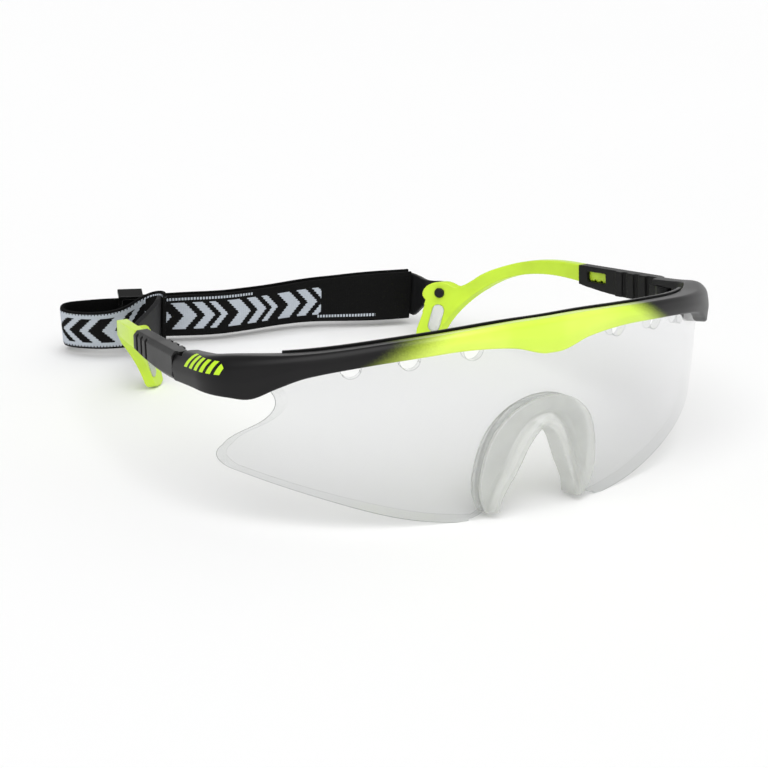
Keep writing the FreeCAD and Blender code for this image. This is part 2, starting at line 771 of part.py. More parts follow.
def leaning_band(path, side0, side1, start):
    """Elastic between two sideways offsets of a path, leaning as it does from start."""
    sections = []
    low, high = offset_points(path, side0), offset_points(path, side1)
    length = start
    for i, (a, b) in enumerate(zip(low, high)):
        if i:
            length += (path[i] - path[i - 1]).Length
        lean = profile(STRAP_LEAN, length)
        rise = math.sqrt(STRAP_WIDE ** 2 - lean ** 2)
        foot = V(0, 0, STRAP_LIFT + profile(STRAP_RISE, length))
        top = foot + LEAN_TOWARD * lean + V(0, 0, rise)
        sections.append([a + foot, b + foot, b + top, a + top])
    return from_table(railed_solid(sections))


def long_path():
    return spine(STRAP_NEAR + STRAP_BEND + SLIDER_LINE + STRAP_FAR, 71)


def strap_long_layer():
    half = STRAP_THICK / 2
    return leaning_band(long_path(), -half, half, STRAP_START)


def slider_axes():
    """Place and direction of the slider on the straight stretch of the strap."""
    a, b = (V(*SLIDER_LINE[k], 0) for k in (0, 3))
    return (a + b) / 2, (b - a).normalize()


def length_to(path, place):
    """Length along the elastic to the point of a path nearest a place."""
    nearest = min(range(len(path)), key=lambda i: (path[i] - place).Length)
    steps = zip(path[:nearest], path[1:nearest + 1])
    return STRAP_START + sum((b - a).Length for a, b in steps)


def strap_return_layer():
    start, run = slider_axes()
    start = start + run * (SLIDER_BAR / 2 + RETURN_GAP)
    path = spine([(start.x, start.y)] + SLIDER_LINE[3:] + STRAP_FAR, 51)
    near = STRAP_THICK / 2 + LAYER_GAP
    return leaning_band(path, near, near + STRAP_THICK, length_to(long_path(), start))


def strap_slider():
    """Three-bar slider: two end bars before the long layer, one bar behind it."""
    centre, run = slider_axes()
    side = V(-run.y, run.x, 0)
    face = STRAP_THICK / 2 + SLIDER_GAP
    low = STRAP_LIFT - SLIDER_DROP
    high = STRAP_LIFT + STRAP_WIDE + SLIDER_GAP

    def block(t0, t1, n0, n1, z0, z1):
        pts = [centre + run * t + side * n for t, n in
               ((t0, n0), (t1, n0), (t1, n1), (t0, n1))]
        base = Part.Face(Part.makePolygon(pts + pts[:1])).translated(V(0, 0, z0))
        return base.extrude(V(0, 0, z1 - z0))

    half = SLIDER_LONG / 2
    deep, back = face + SLIDER_BAR, face + SLIDER_BACK
    parts = [
        block(-half, half, -deep, back, low - SLIDER_FOOT, low),
        block(-half, half, -deep, back, high, high + SLIDER_RAIL),
        block(-half, -half + SLIDER_BAR, -deep, -face, low - 0.1, high + 0.1),
        block(half - SLIDER_BAR, half, -deep, -face, low - 0.1, high + 0.1),
        block(-SLIDER_BAR / 2, SLIDER_BAR / 2, face, back, low - 0.1, high + 0.1),
    ]
    slider = parts[0].fuse(parts[1:]).removeSplitter()
    lean = profile(STRAP_LEAN, length_to(long_path(), centre))
    rise = math.sqrt(STRAP_WIDE ** 2 - lean ** 2)
    over = math.atan2(-lean * LEAN_TOWARD.dot(side), rise)
    slider.rotate(centre + V(0, 0, STRAP_LIFT), run, math.degrees(over))
    return from_table(slider)


def on_table(point):
    """Table position of a worn point."""
    return V(
        point.x,
        point.y * math.cos(SEAT_ANGLE) + point.z * math.sin(SEAT_ANGLE),
        -point.y * math.sin(SEAT_ANGLE) + point.z * math.cos(SEAT_ANGLE) - floor_level(),
    )


def boss_centre():
    y, z = BOSS
    point = arm_point(tip_part(y))
    return V(point.x - inset(z), point.y, z)


def strap_tab(side):
    """Soft tab on the outside of the tip, with a peg that snaps through its hole."""
    boss = on_table(boss_centre())
    normal = tip_normal()
    along = V(-normal.y, normal.x, 0)
    end = V(TAB_END[side][0] * SIDES[side], TAB_END[side][1], 0)
    half = arm_half(tip_part(BOSS[0]))
    face = half + TAB_CLEAR
    seat = V(boss.x, boss.y, 0) + normal * (face + TAB_THICK / 2)
    front = seat - along * TAB_NARROW / 2
    bend = seat + along * TAB_NARROW / 2
    before = end - V(0, 5, 0) + V((seat.x - end.x) * 0.25, 0, 0)
    places = [(p.x, p.y) for p in (front, seat, bend, before, end)]
    strip = wall(spine(places), -TAB_THICK / 2, TAB_THICK / 2, -5, 30)
    nose_r = TAB_NARROW / 2
    rise = STRAP_RISE[0][1] if side == "right" else 0.0
    low, high = STRAP_LIFT + rise + 1.0, STRAP_LIFT + rise + STRAP_WIDE - 1.0
    far_y = end.y + 1
    outline = [
        (boss.y, boss.z - nose_r), (boss.y + 2, boss.z - nose_r - 0.2), (end.y - 3, low),
        (far_y, low), (far_y, high), (end.y - 3, high),
        (boss.y + 2, boss.z + nose_r + 0.1), (boss.y, boss.z + nose_r),
    ]
    blade = prism_yz(outline, 0, 95)
    nose = Part.makeCylinder(nose_r, 95, V(0, boss.y, boss.z), V(1, 0, 0))
    body = from_table(strip.common(blade.fuse(nose)))
    centre = boss_centre()
    inner = -half - PEG_SLACK
    peg = Part.makeCylinder(
        PEG_R, face + TAB_THICK / 2 - inner, centre + normal * inner, normal)
    head = Part.makeCone(
        PEG_R + 0.1, PEG_R + 0.6, 0.9, centre + normal * (inner - 0.9), normal)
    return body.fuse([peg, head]).removeSplitter()


def lens_space_for_pad():
    gap = 0.05
    band = raked(plan_band(LENS_ARCS, 0.5, gap, -LENS_THICK - gap), -50, 0)
    nose = [(x - gap, z) for x, z in LENS_NOSE]
    return band.cut(arch_prism(nose, LENS_NOSE_TOP_Z - gap, -60, -20, 40))


def build():
    os.makedirs("parts", exist_ok=True)
    save("lens", lens())
    save("nose_pad", nose_pad(lens_space_for_pad()))
    save("front_frame", front_frame())
    save("brow_bar", brow_bar())
    paired = {
        "hinge_screw": hinge_screw,
        "temple_sleeve": sleeve,
        "temple_arm": temple_arm,
        "tip_insert": tip_insert,
    }
    for side, sign in SIDES.items():
        for name, make in paired.items():
            save(f"{side}_{name}", make() if sign > 0 else mirror(make()))
        tab = strap_tab(side)
        save(f"{side}_strap_tab", tab if sign > 0 else mirror(tab))
    save("strap_long_layer", strap_long_layer())
    save("strap_return_layer", strap_return_layer())
    save("strap_slider", strap_slider())


build()
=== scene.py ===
import json
import math

import bmesh
import bpy
import numpy as np
from mathutils import Matrix, Vector

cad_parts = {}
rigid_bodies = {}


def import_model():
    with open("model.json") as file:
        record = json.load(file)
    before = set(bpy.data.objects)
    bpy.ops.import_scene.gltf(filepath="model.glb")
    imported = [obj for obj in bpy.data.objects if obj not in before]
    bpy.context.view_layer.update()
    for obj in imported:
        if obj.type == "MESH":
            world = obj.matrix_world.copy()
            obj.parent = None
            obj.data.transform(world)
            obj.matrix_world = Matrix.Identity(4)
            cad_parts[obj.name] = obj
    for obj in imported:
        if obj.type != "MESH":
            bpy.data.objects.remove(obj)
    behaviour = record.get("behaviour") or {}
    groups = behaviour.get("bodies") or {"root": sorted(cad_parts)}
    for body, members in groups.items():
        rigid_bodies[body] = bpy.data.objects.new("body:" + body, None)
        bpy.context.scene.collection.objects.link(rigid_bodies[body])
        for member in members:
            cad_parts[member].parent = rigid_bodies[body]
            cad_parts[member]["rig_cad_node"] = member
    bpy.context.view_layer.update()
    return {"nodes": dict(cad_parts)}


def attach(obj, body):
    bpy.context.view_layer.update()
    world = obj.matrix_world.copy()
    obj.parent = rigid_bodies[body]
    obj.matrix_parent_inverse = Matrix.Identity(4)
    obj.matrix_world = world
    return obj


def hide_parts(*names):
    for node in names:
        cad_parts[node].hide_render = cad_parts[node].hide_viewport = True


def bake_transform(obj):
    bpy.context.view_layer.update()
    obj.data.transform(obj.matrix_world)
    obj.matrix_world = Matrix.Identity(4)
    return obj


# Sports protective goggles. Lengths are in millimetres until row() or table() turns
# them into metres. Most parts are drawn as worn, with +X to the wearer's left, +Y to
# the back of the head and +Z up, as in the CAD source; the strap is drawn on the table.
MM = 0.001

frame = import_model()

# ---------------------------------------------------------------- shared dimensions
SEAT_ANGLE = math.atan(0.1444)
ORIGIN_Y = 81.09
LOBE_Y, LOBE_Z = 10.8, -44.2
FLOOR = -LOBE_Y * math.sin(SEAT_ANGLE) + LOBE_Z * math.cos(SEAT_ANGLE)

LENS_ARCS = [(116.5, 0.40), (70.0, 1.10)]
FRAME_ARCS = [(116.5, 0.40), (70.0, 0.88), (13.5, math.pi / 2)]
LENS_FRONT_Y = 1.69
LENS_REF_Z = -4.0
LENS_RAKE = 0.172

FRAME_FRONT, FRAME_BACK = 2.6, 4.2
FRAME_TOP = [(0, 5.7), (14, 5.6), (39, 4.0), (64, 1.9), (82, 1.2), (93, 0.1), (103, -0.4)]
FRAME_LOW = [
    (0, -3.0), (10, -0.6), (22, 0.3), (36, -0.4), (50, -1.7), (62, -3.7), (69, -6.2),
    (75.5, -8.8), (82, -8.5), (92, -7.9), (103, -7.8),
]
FRAME_RUN = 101.3
CREASE = 0.42
SHOULDER = [(0, 1.0), (62, 1.0), (84, 2.2), (103, 1.8)]
ENDPIECE_X = 77.8
ENDPIECE_END_Y = 51.2
ENDPIECE_WALL = 1.5
HINGE_X, HINGE_Y = 73.3, 46.4
LUG_TOP, LUG_BOTTOM = (-1.9, -0.5), (-7.8, -6.2)

STRAP_WIDE, STRAP_THICK, STRAP_LIFT = 15.0, 1.1, 2.4
# Plan of the elastic on the table, from the right tab round the loose bend, straight
# through the slider and along to the left tab
STRAP_NEAR = [(-35.4, 136.2), (-34.6, 141.0), (-37.6, 145.4), (-44.8, 148.2), (-53.5, 152.9)]
STRAP_BEND = [(-56.4, 157.9), (-54.0, 161.1)]
SLIDER_LINE = [(-49.3, 160.4), (-41.3, 157.83), (-33.3, 155.27), (-25.3, 152.7), (-12.0, 148.4)]
STRAP_FAR = [(2.5, 147.6), (18.9, 146.4), (32.8, 141.0), (42.7, 137.8), (49.6, 136.4)]
TAB_THICK = 1.2
LAYER_GAP = TAB_THICK + 0.2
# Reading of the length along the elastic at its right-hand end
STRAP_START = -4.5
# How far the elastic is raised towards the right tab, and how far its top edge leans
# over, at lengths along it
STRAP_RISE = [(-4.5, 4.0), (0, 3.4), (12, 0.0), (141, 0.0)]
STRAP_LEAN = [
    (0, 0.0), (3, 0.1), (6, 1.6), (10, 4.8), (16, 6.6), (30, 6.8), (44, 5.6), (58, 5.4),
    (72, 4.7), (86, 5.0), (100, 5.2), (115, 3.3), (126, 0.8), (132, 0.0), (141, 0.0),
]
LEAN_TOWARD = np.array((-0.555, -0.832))
# How far past the middle of the slider the returning layer starts
RETURN_START = 3.05

NEON = (0.60, 0.84, 0.04)
BLACK = (0.006, 0.006, 0.0065)


def row(points):
    """Row frame, in metres, of points given as worn in millimetres."""
    p = np.asarray(points, float)
    cos, sin = math.cos(SEAT_ANGLE), math.sin(SEAT_ANGLE)
    x, y, z = p[..., 0], p[..., 1], p[..., 2]
    return np.stack([x, y * cos + z * sin - ORIGIN_Y, z * cos - y * sin - FLOOR], -1) * MM


def table(points):
    """Row frame, in metres, of points given on the table in millimetres."""
    return (np.asarray(points, float) - (0, ORIGIN_Y, 0)) * MM


# ---------------------------------------------------------------- curves and sections
def profile(knots, x):
    """Smooth reading of a short (position, value) profile that starts level."""
    slopes = [0.0]
    for (x0, v0), _, (x2, v2) in zip(knots[:-2], knots[1:-1], knots[2:]):
        slopes.append((v2 - v0) / (x2 - x0))
    slopes.append(0.0)
    x = min(max(x, knots[0][0]), knots[-1][0])
    for i, ((x0, v0), (x1, v1)) in enumerate(zip(knots[:-1], knots[1:])):
        if x <= x1:
            break
    span = x1 - x0
    u = (x - x0) / span
    rise = u * u * (3 - 2 * u)
    ease_in = u * (1 - u) ** 2 * span * slopes[i]
    ease_out = u * u * (u - 1) * span * slopes[i + 1]
    return v0 + (v1 - v0) * rise + ease_in + ease_out


def plan_point(arcs, angle, offset=0.0):
    """Plan point where the guide curve has turned by angle, moved outwards."""
    x, y, start = 0.0, LENS_FRONT_Y, 0.0
    for radius, end in arcs:
        stop = min(abs(angle), end)
        if stop > start:
            x += radius * (math.sin(stop) - math.sin(start))
            y += radius * (math.cos(start) - math.cos(stop))
        start = end
    x += offset * math.sin(abs(angle))
    y -= offset * math.cos(angle)
    return math.copysign(x, angle), y


def frame_station(run):
    """Plan place and turn of the frame's guide curve at a signed length along it."""
    length, start, x, y, angle = abs(run), 0.0, 0.0, LENS_FRONT_Y, 0.0
    for radius, end in FRAME_ARCS:
        turn = min(length / radius, end - start)
        x += radius * (math.sin(start + turn) - math.sin(start))
        y += radius * (math.cos(start) - math.cos(start + turn))
        length -= radius * turn
        angle = start + turn
        start = end
    return math.copysign(x, run), y + length, math.copysign(angle, run)


def rounded(corners, steps=4):
    """Closed section whose corners (a, b, radius) are rounded with a few points each."""
    points = []
    count = len(corners)
    for i, (a, b, radius) in enumerate(corners):
        here = np.array((a, b))
        before = np.array(corners[i - 1][:2]) - here
        after = np.array(corners[(i + 1) % count][:2]) - here
        reach = min(radius, 0.45 * np.linalg.norm(before), 0.45 * np.linalg.norm(after))
        start = here + before / np.linalg.norm(before) * reach
        stop = here + after / np.linalg.norm(after) * reach
        for k in range(steps + 1):
            u = k / steps
            points.append(start * (1 - u) ** 2 + here * 2 * u * (1 - u) + stop * u * u)
    return points


def spline(points, count):
    """Evenly spaced points of a natural cubic curve through a few places."""
    p = np.asarray(points, float)
    knots = np.concatenate([[0], np.cumsum(np.linalg.norm(np.diff(p, axis=0), axis=1))])
    gaps = np.diff(knots)
    size = len(p)
    system, right = np.eye(size), np.zeros_like(p)
    for i in range(1, size - 1):
        system[i, i - 1 : i + 2] = gaps[i - 1], 2 * (gaps[i - 1] + gaps[i]), gaps[i]
        right[i] = 6 * ((p[i + 1] - p[i]) / gaps[i] - (p[i] - p[i - 1]) / gaps[i - 1])
    bend = np.linalg.solve(system, right)
    fine = np.linspace(0, knots[-1], count * 8)
    i = np.clip(np.searchsorted(knots, fine) - 1, 0, size - 2)
    h, a, b = gaps[i, None], (knots[i + 1] - fine)[:, None], (fine - knots[i])[:, None]
    line = (
        (bend[i] * a**3 + bend[i + 1] * b**3) / (6 * h)
        + (p[i] / h - bend[i] * h / 6) * a
        + (p[i + 1] / h - bend[i + 1] * h / 6) * b
    )
    length = np.concatenate([[0], np.cumsum(np.linalg.norm(np.diff(line, axis=0), axis=1))])
    even = np.linspace(0, length[-1], count)
    return np.stack([np.interp(even, length, line[:, k]) for k in range(p.shape[1])], -1)


# ---------------------------------------------------------------- meshes
def mesh_object(name, verts, faces, smooth_deg=35):
    mesh = bpy.data.meshes.new(name)
    mesh.from_pydata([tuple(v) for v in verts], [], faces)
    mesh.validate()
    made = bpy.data.objects.new(name, mesh)
    bpy.context.scene.collection.objects.link(made)
    tidy_normals(made, smooth_deg)
    return made


def tidy_normals(obj, smooth_deg=35):
    """Outward faces, smooth except at edges sharper than the angle."""
    work = bmesh.new()
    work.from_mesh(obj.data)
    bmesh.ops.remove_doubles(work, verts=work.verts, dist=1e-7)
    bmesh.ops.recalc_face_normals(work, faces=work.faces)
    work.to_mesh(obj.data)
    work.free()
    obj.data.shade_smooth()
    obj.data.set_sharp_from_angle(angle=math.radians(smooth_deg))


def skin(rings):
    """Vertices and faces of a tube through rings of equal length, with end caps."""
    count, size = len(rings), len(rings[0])
    verts = np.concatenate(rings)
    faces = []
    for i in range(count - 1):
        for k in range(size):
            n = (k + 1) % size
            faces.append((i * size + k, i * size + n, (i + 1) * size + n, (i + 1) * size + k))
    faces.append(tuple(range(size)))
    faces.append(tuple((count - 1) * size + k for k in range(size)))
    return verts, faces


def prism(name, outline, low, high, side=1):
    """Upright prism over a worn plan outline, for cutting."""
    pts = [(side * x, y) for x, y in outline]
    rings = [row([(x, y, z) for x, y in pts]) for z in (low, high)]
    return mesh_object(name, *skin(rings))


def settle(obj):
    """Applies the modifiers of a new piece."""
    graph = bpy.context.evaluated_depsgraph_get()
    mesh = bpy.data.meshes.new_from_object(obj.evaluated_get(graph))
    obj.modifiers.clear()
    obj.data = mesh
    return obj


def carve(obj, cutters, smooth_deg=35):
    for cutter in cutters:
        cut = obj.modifiers.new("cut", "BOOLEAN")
        cut.operation, cut.solver, cut.object = "DIFFERENCE", "EXACT", cutter
    settle(obj)
    for cutter in cutters:
        bpy.data.objects.remove(cutter)
    tidy_normals(obj, smooth_deg)
    return obj


def copy_of(node, name):
    """New piece that starts from a CAD node's mesh, with its corners joined up."""
    made = bpy.data.objects.new(name, frame["nodes"][node].data.copy())
    bpy.context.scene.collection.objects.link(made)
    made.data.materials.clear()
    tidy_normals(made)
    return made


# ---------------------------------------------------------------- material building
class Shader:
    """Short way to write a material's nodes."""

    def __init__(self, name):
        self.material = bpy.data.materials.new(name)
        self.material.use_nodes = True
        self.tree = self.material.node_tree
        self.tree.nodes.clear()
        self.out = self.add("ShaderNodeOutputMaterial")

    def add(self, kind, inputs=None, **settings):
        node = self.tree.nodes.new(kind)
        for key, value in settings.items():
            setattr(node, key, value)
        for key, value in (inputs or {}).items():
            self.put(node.inputs[key], value)
        return node

    def put(self, socket, value):
        if isinstance(value, bpy.types.NodeSocket):
            self.tree.links.new(value, socket)
        elif isinstance(value, tuple) and len(value) == 3 and socket.type == "RGBA":
            socket.default_value = (*value, 1)
        else:
            socket.default_value = value

    def math(self, operation, a, b=0.0, c=0.0):
        node = self.add("ShaderNodeMath", {0: a, 1: b, 2: c}, operation=operation)
        return node.outputs[0]

    def between(self, value, low, high):
        above = self.math("GREATER_THAN", value, low)
        return self.math("MULTIPLY", above, self.math("LESS_THAN", value, high))

    def smooth(self, value, low, high, start=0.0, stop=1.0):
        """Eases from start to stop as value goes from low to high."""
        node = self.add(
            "ShaderNodeMapRange",
            {"Value": value, "From Min": low, "From Max": high, "To Min": start, "To Max": stop},
            interpolation_type="SMOOTHSTEP",
        )
        return node.outputs[0]

    def mix(self, share, a, b):
        node = self.add("ShaderNodeMix", data_type="RGBA")
        self.put(node.inputs[0], share)
        self.put(node.inputs[6], a)
        self.put(node.inputs[7], b)
        return node.outputs[2]

    def noise(self, scale, detail=2.0, source=None):
        inputs = {"Scale": scale, "Detail": detail}
        inputs["Vector"] = source or self.place()
        return self.add("ShaderNodeTexNoise", inputs).outputs[0]

    def place(self):
        return self.add("ShaderNodeTexCoord").outputs["Object"]

    def axes(self, vector):
        node = self.add("ShaderNodeSeparateXYZ", {0: vector})
        return node.outputs[0], node.outputs[1], node.outputs[2]

    def bump(self, height, depth, strength=1.0, edge=0.0):
        inputs = {"Height": height, "Distance": depth, "Strength": strength}
        if edge:
            soft = self.add("ShaderNodeBevel", {"Radius": edge}, samples=6)
            inputs["Normal"] = soft.outputs[0]
        return self.add("ShaderNodeBump", inputs).outputs[0]

    def surface(self, **inputs):
        named = {key.replace("_", " "): value for key, value in inputs.items()}
        return self.add("ShaderNodeBsdfPrincipled", named).outputs[0]

    def mirror_share(self):
        """Share of light that a clear surface mirrors, the same seen from both sides."""
        slant = self.add("ShaderNodeLayerWeight", {"Blend": 0.5}).outputs["Facing"]
        return self.math("MULTIPLY_ADD", self.math("POWER", slant, 5.0), 0.9, 0.04)

    def blend(self, share, a, b):
        return self.add("ShaderNodeMixShader", {0: share, 1: a, 2: b}).outputs[0]

    def done(self, surface):
        self.put(self.out.inputs["Surface"], surface)
        return self.material


def moulded(name, colour, rough, edge=0.18 * MM, grain=0.012 * MM, extra=None):
    """Moulded plastic or rubber: fine grain, uneven sheen and softened edges."""
    s = Shader(name)
    cloud = s.noise(90.0, 3.0)
    fine = s.noise(5200.0, 2.0)
    tone = s.mix(s.smooth(cloud, 0.3, 0.7, 0.0, 1.0), tuple(c * 0.9 for c in colour), colour)
    sheen = s.smooth(cloud, 0.25, 0.75, rough - 0.04, rough + 0.05)
    inputs = {
        "Base_Color": tone,
        "Roughness": sheen,
        "Normal": s.bump(fine, grain, 0.5, edge),
    }
    inputs.update(extra or {})
    return s.done(s.surface(**inputs))


# ---------------------------------------------------------------- materials
# Where the spray fades from neon to black on the right and the left, as distances from
# the middle
FADE_NEAR, FADE_FAR = (31.5, 48.0), (31.0, 42.0)
# Front end, height and number of the bars on the endpieces, their step and half height,
# and how far out from the middle they start
MARK_Y, MARK_Z, MARK_BARS = 30.0, -1.5, 6
MARK_STEP, MARK_HALF, MARK_OUT = 2.5, 1.5, 74.5


def worn_axes(s):
    """Worn millimetre coordinates inside a material, from the row frame."""
    x, y, z = s.axes(s.place())
    cos, sin = math.cos(SEAT_ANGLE), math.sin(SEAT_ANGLE)
    y = s.math("MULTIPLY_ADD", y, 1 / MM, ORIGIN_Y)
    z = s.math("MULTIPLY_ADD", z, 1 / MM, FLOOR)
    worn_y = s.math("SUBTRACT", s.math("MULTIPLY", y, cos), s.math("MULTIPLY", z, sin))
    worn_z = s.math("ADD", s.math("MULTIPLY", y, sin), s.math("MULTIPLY", z, cos))
    return s.math("MULTIPLY", x, 1 / MM), worn_y, worn_z


def fade_paint():
    s = Shader("fade_paint")
    x, y, z = worn_axes(s)
    speckle = s.math("MULTIPLY_ADD", s.noise(2600.0, 3.0), 3.0, -1.5)
    slant = s.math("MULTIPLY_ADD", z, 1.6, speckle)
    near = s.smooth(s.math("SUBTRACT", slant, x), FADE_NEAR[0], FADE_NEAR[1])
    far = s.smooth(s.math("ADD", slant, x), FADE_FAR[0], FADE_FAR[1])
    dark = s.math("MAXIMUM", near, far)

    # printed mark: a short row of slanted bars on the outside of each endpiece
    along = s.math("MULTIPLY_ADD", z, 0.45, s.math("SUBTRACT", y, MARK_Y))
    cell = s.math("FRACT", s.math("DIVIDE", along, MARK_STEP))
    bar = s.math("LESS_THAN", cell, 0.58)
    inside = s.between(along, 0.0, MARK_STEP * MARK_BARS)
    level = s.math("ABSOLUTE", s.math("SUBTRACT", z, MARK_Z))
    inside = s.math("MULTIPLY", inside, s.math("LESS_THAN", level, MARK_HALF))
    outer = s.math("GREATER_THAN", s.math("ABSOLUTE", x), MARK_OUT)
    mark = s.math("MULTIPLY", s.math("MULTIPLY", bar, inside), outer)

    fine = s.noise(4200.0, 2.0)
    cloud = s.noise(60.0, 2.0)
    neon = s.mix(s.smooth(cloud, 0.3, 0.7), (0.66, 0.90, 0.06), (0.74, 0.94, 0.10))
    black = s.mix(s.smooth(cloud, 0.3, 0.7), BLACK, (0.009, 0.0085, 0.009))
    colour = s.mix(mark, s.mix(dark, neon, black), (0.52, 0.80, 0.03))
    rough = s.smooth(dark, 0.0, 1.0, 0.28, 0.34)
    surface = s.surface(
        Base_Color=colour,
        Roughness=s.math("MULTIPLY_ADD", cloud, 0.06, rough),
        Specular_IOR_Level=s.smooth(dark, 0.0, 1.0, 0.5, 0.22),
        Coat_Weight=s.smooth(dark, 0.0, 1.0, 0.35, 0.0),
        Coat_Roughness=0.2,
        Normal=s.bump(fine, 0.008 * MM, 0.35, 0.2 * MM),
    )
    return s.done(surface)


def clear_film(name, tint, rough, edge=None):
    """Clear plastic: lets light straight through and mirrors it at a slant.

    Edge is a darker tint for a thin line of painted shade along the outline of the front face.
    """
    s = Shader(name)
    smear = s.noise(70.0, 4.0)
    colour = tint
    if edge:
        # painted shade: a thin dark line where the front face turns into its rounded edge
        soft = s.add("ShaderNodeBevel", {"Radius": 0.35 * MM}, samples=8).outputs[0]
        flat = s.add("ShaderNodeNewGeometry").outputs["True Normal"]
        bend = s.add("ShaderNodeVectorMath", {0: soft, 1: flat}, operation="DOT_PRODUCT")
        line = s.smooth(s.math("ABSOLUTE", bend.outputs["Value"]), 0.80, 0.99, 1.0, 0.0)
        facing = s.axes(s.add("ShaderNodeTexCoord").outputs["Normal"])[1]
        line = s.math("MULTIPLY", line, s.math("LESS_THAN", facing, 0.0))
        colour = s.mix(line, tint, edge)
    through = s.add("ShaderNodeBsdfTransparent", {"Color": colour}).outputs[0]
    sheen = s.smooth(smear, 0.35, 0.75, rough, rough + 0.03)
    gloss = s.add("ShaderNodeBsdfAnisotropic", {"Color": (1.0, 1.0, 1.0), "Roughness": sheen})
    return s.done(s.blend(s.mirror_share(), through, gloss.outputs[0]))


def silicone():
    """Cloudy rubber that looks denser where it is seen at a slant, and is painted darker there as
    a painted shaded outline.
    """
    s = Shader("clear_silicone")
    cloud = s.noise(110.0, 2.0)
    fine = s.noise(3000.0, 2.0)
    slant = s.add("ShaderNodeLayerWeight", {"Blend": 0.5}).outputs["Facing"]
    # painted shade: the colour darkens towards a slant to draw a shaded outline round the pad
    body = s.surface(
        Base_Color=s.mix(slant, (0.84, 0.85, 0.83), (0.52, 0.53, 0.51)),
        Roughness=0.3,
        Subsurface_Weight=0.5,
        Subsurface_Scale=2.0 * MM,
        Subsurface_Radius=(1.0, 1.0, 0.9),
        Normal=s.bump(fine, 0.008 * MM, 0.4),
    )
    through = s.add("ShaderNodeBsdfTransparent", {"Color": (0.95, 0.955, 0.945)}).outputs[0]
    dense = s.smooth(slant, 0.1, 0.9, 0.30, 0.70)
    share = s.math("ADD", dense, s.smooth(cloud, 0.3, 0.7, 0.0, 0.06))
    return s.done(s.blend(share, through, body))


# Stretches of the elastic, as readings of its length, where its inner face shows the
# woven figure, the dotted line along the top and the one near the lower edge
FIGURE, TOP_LINE, LOW_LINE = (62.0, 113.0), (55.0, 90.0), (112.0, 130.0)
# Its outer face is plain up to this length
PLAIN_UNTIL = 5.0
# Length of the repeat, and the strokes of the chevrons within it
REPEAT = 17.0
CHEVRONS = [(0.6, 4.6), (7.0, 10.0), (12.0, 14.0)]
THREAD_DARK, THREAD_PALE = (0.006, 0.006, 0.006), (0.60, 0.65, 0.72)


def chevrons(s, along, middle):
    """Nested chevrons that repeat along the band."""
    shift = s.math("DIVIDE", s.math("MULTIPLY_ADD", middle, 0.75, along), REPEAT)
    cell = s.math("MULTIPLY", s.math("FRACT", shift), REPEAT)
    bars = 0.0
    for low, high in CHEVRONS:
        bars = s.math("MAXIMUM", bars, s.between(cell, low, high))
    return s.math("MULTIPLY", bars, s.math("LESS_THAN", middle, 4.9))


def figure_mask(s, u, v, along, outer):
    """Where the pale thread shows on one face of the elastic."""
    middle = s.math("ABSOLUTE", s.math("SUBTRACT", v, STRAP_WIDE / 2))
    bars = chevrons(s, along, middle)
    dots = s.math("GREATER_THAN", s.math("FRACT", s.math("DIVIDE", u, 0.9)), 0.35)
    if outer:
        border = s.math("GREATER_THAN", middle, 6.2)
        lines = s.math("MULTIPLY", s.between(middle, 6.2, 6.7), dots)
        mask = s.math("SUBTRACT", 1.0, s.math("MAXIMUM", bars, border))
        mask = s.math("MULTIPLY", mask, s.math("GREATER_THAN", u, PLAIN_UNTIL))
    else:
        top = s.math("MULTIPLY", s.between(u, *TOP_LINE), s.between(v, 13.3, 14.2))
        low = s.math("MULTIPLY", s.between(u, *LOW_LINE), s.between(v, 1.5, 2.4))
        lines = s.math("MULTIPLY", s.math("MAXIMUM", top, low), dots)
        mask = s.math("MULTIPLY", bars, s.between(u, *FIGURE))
    mask = s.math("MAXIMUM", mask, lines)
    plain = s.add("ShaderNodeAttribute", attribute_name="plain").outputs["Fac"]
    return s.math("MULTIPLY", mask, s.math("SUBTRACT", 1.0, plain))


def woven(name, outer):
    """Jacquard elastic: u runs along the band and v across it, both in millimetres."""
    s = Shader(name)
    u, v, _ = s.axes(s.add("ShaderNodeUVMap", uv_map="UVMap").outputs[0])
    pick = s.math("PINGPONG", v, 0.45)
    cord = s.math("PINGPONG", u, 0.32)
    mask = figure_mask(s, u, v, s.math("MULTIPLY_ADD", pick, 1.1, u), outer)
    knit = s.math("ADD", s.math("MULTIPLY", pick, 0.8), s.math("MULTIPLY", cord, 1.2))
    fuzz = s.noise(3600.0, 3.0)
    height = s.math("ADD", knit, s.math("MULTIPLY", fuzz, 0.3))
    pale = s.mix(fuzz, tuple(c * 0.7 for c in THREAD_PALE), THREAD_PALE)
    dark = s.mix(
        fuzz, tuple(c * 0.6 for c in THREAD_DARK), tuple(c * 1.6 for c in THREAD_DARK))
    return s.done(s.surface(
        Base_Color=s.mix(mask, dark, pale),
        Roughness=0.9,
        Specular_IOR_Level=0.08,
        Normal=s.bump(height, 0.12 * MM, 0.6),
    ))


def steel():
    s = Shader("steel")
    fine = s.noise(2500.0, 3.0)
    return s.done(s.surface(
        Base_Color=(0.55, 0.55, 0.56),
        Metallic=1.0,
        Roughness=s.smooth(fine, 0.3, 0.7, 0.25, 0.4),
        Normal=s.bump(fine, 0.01 * MM, 0.4, 0.1 * MM),
    ))


